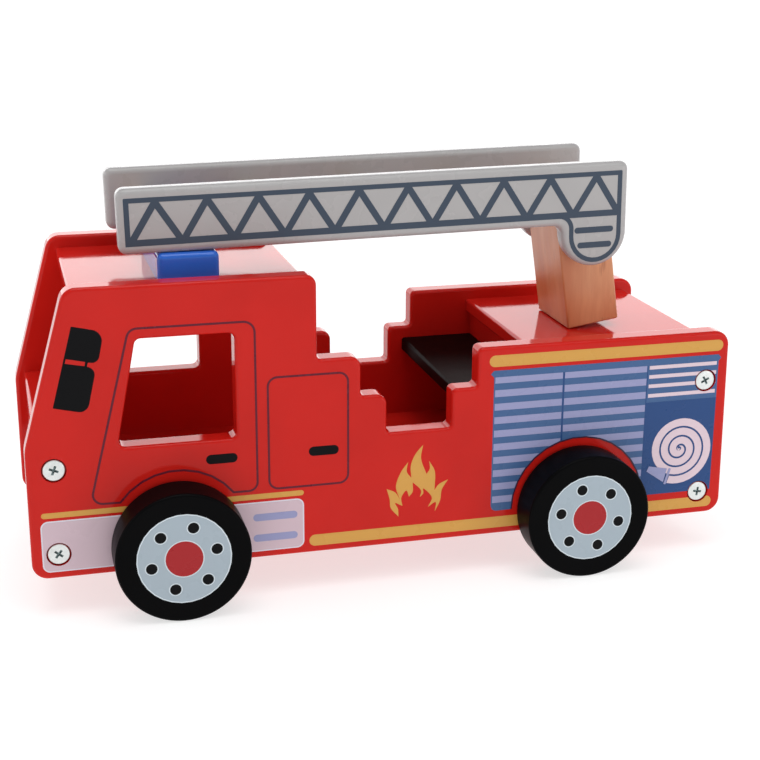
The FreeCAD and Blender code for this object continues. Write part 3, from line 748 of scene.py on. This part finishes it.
LEAN = math.radians(-8.5)
cad["turntable_block"].material_slots[0].material = beech(
    "beech_block", (230, 170, 124), (200, 120, 76), (0.0, LEAN, 0.0), (1.0, 1.0, 0.12))
cad["swivel_screw"].material_slots[0].material = zinc
cad["swivel_washer"].material_slots[0].material = zinc


# ---- Ladder ----------------------------------------------------------------------------------------------
# Two shaped rails in grey satin lacquer, joined by birch dowels, which turn on a thicker dowel through the
# block. The outer faces carry a printed lattice. Places on a rail are in millimetres along it from its front
# end and up from its bottom edge.

grey_lacquer = lacquer(
    "grey_lacquer", (174, 172, 172), level=0.4, gloss=(0.22, 0.32), uneven=0.02, peel=0.008)
for name in ("ladder_rail_left", "ladder_rail_right"):
    cad[name].material_slots[0].material = grey_lacquer
birch = beech("birch_dowel", (226, 190, 150), (204, 162, 118), (0.0, 0.0, 0.0), (1.0, 0.1, 1.0))
for name in ("ladder_pivot_dowel", "ladder_rungs"):
    cad[name].material_slots[0].material = birch

RAIL_REACH, RAIL_RISE, RAIL_DIP = 187.5, 3.3, 0.95
lift = next(joint for joint in frame["joints"] if joint["name"] == "ladder_lift")
rail_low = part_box("ladder_rail_left")[0]
pivot = Vector(lift["pos_m"])
LINE = 2.55                         # width of a printed line
LEFT, RIGHT, BOTTOM, TOP = 4.5, 196.5, 5.65, 19.25    # inside the lattice's frame
CELL, FIRST_TOP, CELLS = 19.28, 14.0, 10
CHORD_LOW, CHORD_HIGH = 4.1, 19.3   # where the diagonals' middle lines meet
slope = (CELL / 2) / (CHORD_HIGH - CHORD_LOW)
aside = LINE / 2 * math.sqrt(1 + slope ** 2)
peak = CHORD_LOW + (CELL / 2 - aside) / slope
foot = CELL / 2 - slope * (BOTTOM - CHORD_LOW) - aside
head = slope * (TOP - CHORD_LOW) - aside
dip = CHORD_LOW + aside / slope
holes = []
for number in range(CELLS):
    middle = FIRST_TOP + number * CELL
    holes.append([(middle - foot, BOTTOM), (middle + foot, BOTTOM), (middle, peak)])
    if number < CELLS - 1:
        valley = middle + CELL / 2
        holes.append([(valley, dip), (valley + head, TOP), (valley - head, TOP)])
first_foot = FIRST_TOP - CELL / 2
left_low = CHORD_LOW + (LEFT - first_foot + aside) / slope
holes.append([(LEFT, left_low), (first_foot + head, TOP), (LEFT, TOP)])
last_top = FIRST_TOP + (CELLS - 1) * CELL
last_edge = last_top + (CHORD_HIGH - TOP) * slope + aside
right_low = CHORD_HIGH - (RIGHT - last_top - aside) / slope
holes.append([(last_edge, TOP), (RIGHT, right_low), (RIGHT, TOP)])
FRAME_LOW = 3.15                    # the frame's lower edge
LOBE, LOBE_OUT, LOBE_IN = (187.45, -4.25), 11.0, 9.15
bend = (172.1, -1.2)
bend_in = FRAME_LOW - bend[1]
bend_out = LOBE[0] - LOBE_IN - bend[0]
start = math.degrees(math.asin(bend_in / bend_out))
lobe_right = (LOBE[0] + LOBE_IN, FRAME_LOW)
holes.append(arc(bend, bend_out, start, 0) + arc(LOBE, LOBE_IN, 180, 360) + [lobe_right])
FRAME_LEFT, FRAME_RIGHT, FRAME_HIGH, FRAME_CORNER = 2.5, 198.4, 21.1, 0.5
frame_outline = rounded([
    (FRAME_LEFT, FRAME_LOW, FRAME_CORNER), (FRAME_LEFT, FRAME_HIGH, FRAME_CORNER),
    (FRAME_RIGHT, FRAME_HIGH, FRAME_CORNER), (FRAME_RIGHT, FRAME_LOW, 0),
], closed=False)
outer = (
    frame_outline[1:]
    + arc(LOBE, LOBE_OUT, 0, -180)
    + arc(bend, bend_in, 0, 90)
    + [(FRAME_LEFT, FRAME_LOW)]
)
lattice = [outer] + holes + [bar(178.7, 195.2, -2.05, 2.4), bar(180.1, 194.6, -8.15, 2.4)]
slate_ink = ink("slate_ink", (62, 74, 90), gloss=(0.3, 0.4))
rail_place = (
    Matrix.Translation((pivot.x, rail_low.y, pivot.z))
    @ Matrix.Rotation(math.radians(-RAIL_DIP), 4, "Y")
    @ Matrix.Translation((-RAIL_REACH * MM, 0.0, RAIL_RISE * MM))
    @ STAND_UP
)
left_lattice = cut_out("left_ladder_print", lattice, -SUNK, INK, rail_place)
left_lattice.data.materials.append(slate_ink)
right_lattice = mirror_copy(left_lattice, "right_ladder_print")
for piece in (left_lattice, right_lattice):
    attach(piece, "ladder")
